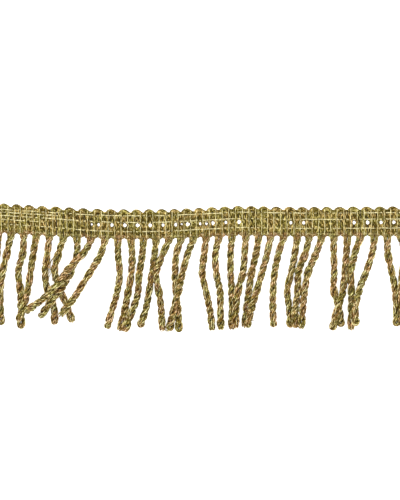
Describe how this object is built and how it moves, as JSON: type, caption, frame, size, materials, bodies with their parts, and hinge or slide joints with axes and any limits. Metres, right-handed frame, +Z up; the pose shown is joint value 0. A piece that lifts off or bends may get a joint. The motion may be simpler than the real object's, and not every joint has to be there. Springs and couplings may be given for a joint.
{
  "type": "cord fringe trim",
  "caption": "Flat length of metallic cord fringe: a narrow knitted heading with a scalloped edge and a row of twisted cords with looped ends.",
  "frame": {"origin": "middle of the heading's flat back face, on the surface that the trim lies on", "axes": "+X along the trim, +Y from the cord ends towards the scalloped edge, +Z up from the surface to the face side"},
  "size_m": [0.1683, 0.0473, 0.0076],
  "materials": {
    "heading_yarn": "metallic gold yarn, crochet-knitted band with pale gold stitching",
    "cord_yarn": "metallic gold yarn, two-ply twisted cords"
  },
  "bodies": {
    "root": {"heading": "heading_yarn", "fringe": "cord_yarn"}
  },
  "joints": []
}
